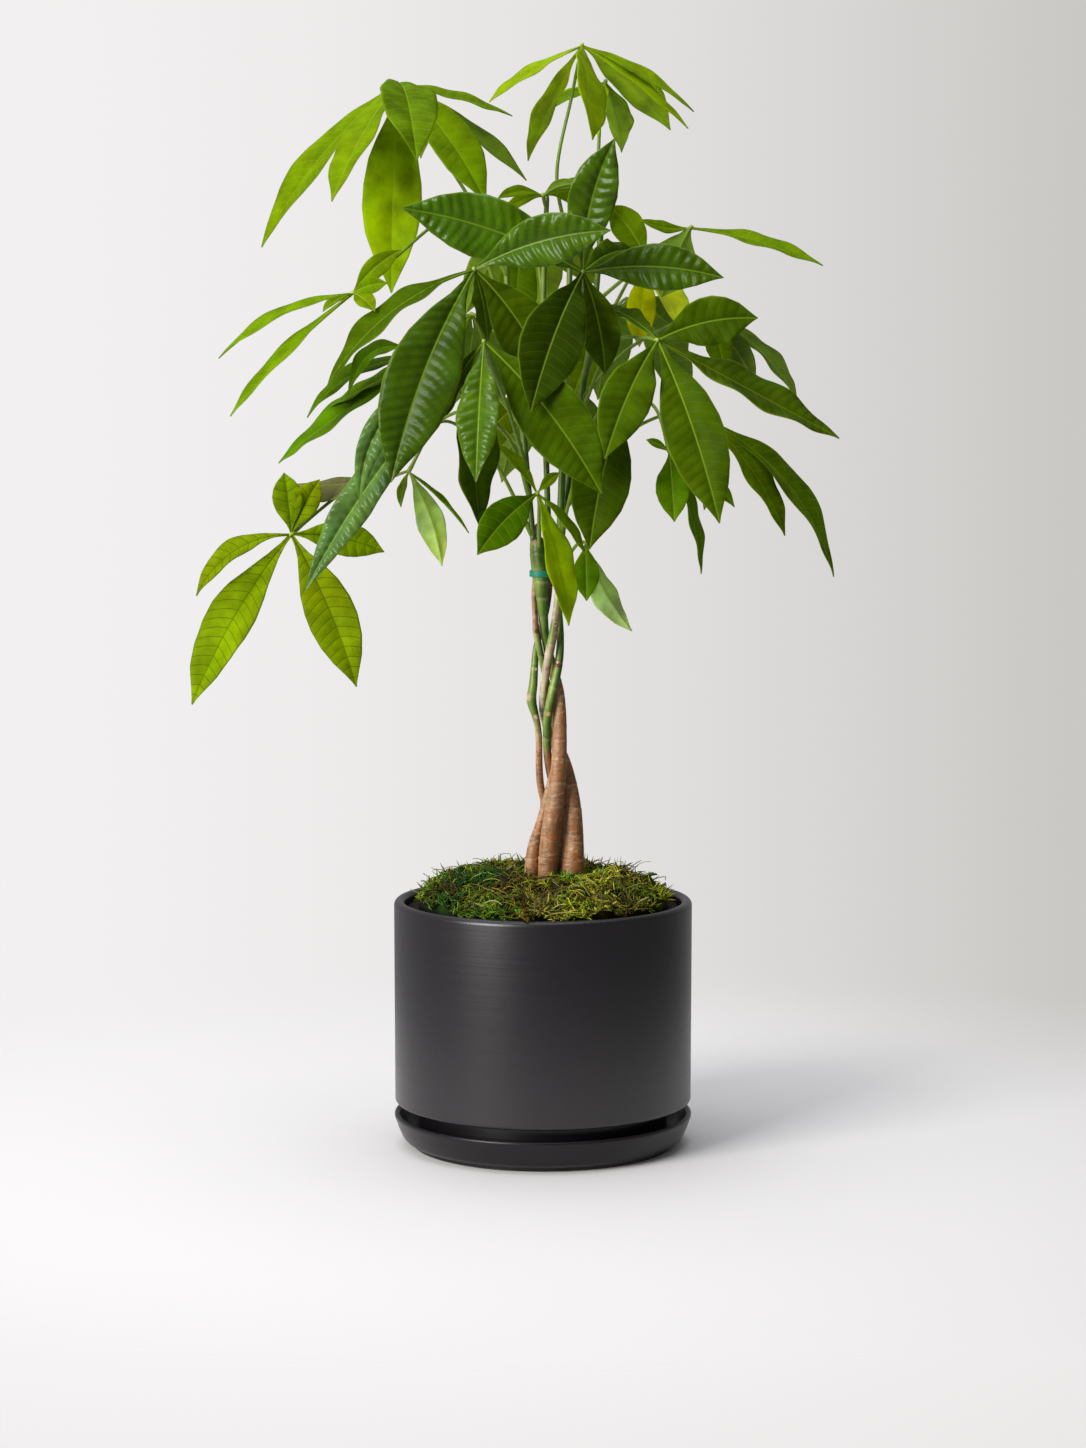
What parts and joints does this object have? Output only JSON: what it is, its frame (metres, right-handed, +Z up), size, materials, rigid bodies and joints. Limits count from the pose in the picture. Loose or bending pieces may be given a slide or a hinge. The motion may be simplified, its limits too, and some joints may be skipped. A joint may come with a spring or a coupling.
{
  "type": "potted money tree",
  "caption": "Braided money tree with drooping hand-shaped leaves, moss over its soil, in a matte black cylinder pot on a saucer.",
  "frame": {"origin": "centre of the saucer's underside, on the surface that it stands on", "axes": "+Z up along the pot's axis, -Y towards the side that the picture shows, +X to the right"},
  "size_m": [0.4672, 0.3311, 0.8069],
  "materials": {
    "ceramic": "matte black glaze",
    "soil": "loose potting soil",
    "moss": "dry and living moss",
    "stem": "smooth bark, green above",
    "tie": "coated garden tie",
    "leaf": "waxy leaf"
  },
  "bodies": {
    "root": {"saucer": "ceramic", "pot": "ceramic", "soil": "soil", "moss": "moss", "stem_right": "stem", "stem_middle": "stem", "stem_left": "stem", "stem_slim_left": "stem", "stem_slim_right": "stem", "tie": "tie", "leaf_top_right": "leaf", "leaf_top_back": "leaf", "leaf_top_left": "leaf", "leaf_left": "leaf", "leaf_centre_left": "leaf", "leaf_centre_right": "leaf", "leaf_centre_low": "leaf", "leaf_right": "leaf", "leaf_far_right": "leaf", "leaf_low_right": "leaf", "leaf_low_middle": "leaf", "leaf_front": "leaf", "leaf_front_right": "leaf", "leaf_low_left": "leaf", "leaf_glossy_left": "leaf", "leaf_small_left": "leaf", "leaf_back_left": "leaf", "leaf_upper_right": "leaf", "leaf_yellow_right": "leaf", "leaf_behind_right": "leaf", "leaf_small_top": "leaf", "leaf_crown_back": "leaf", "leaf_back_high_right": "leaf", "leaf_back_high_left": "leaf", "leaf_back_low": "leaf"}
  },
  "joints": []
}
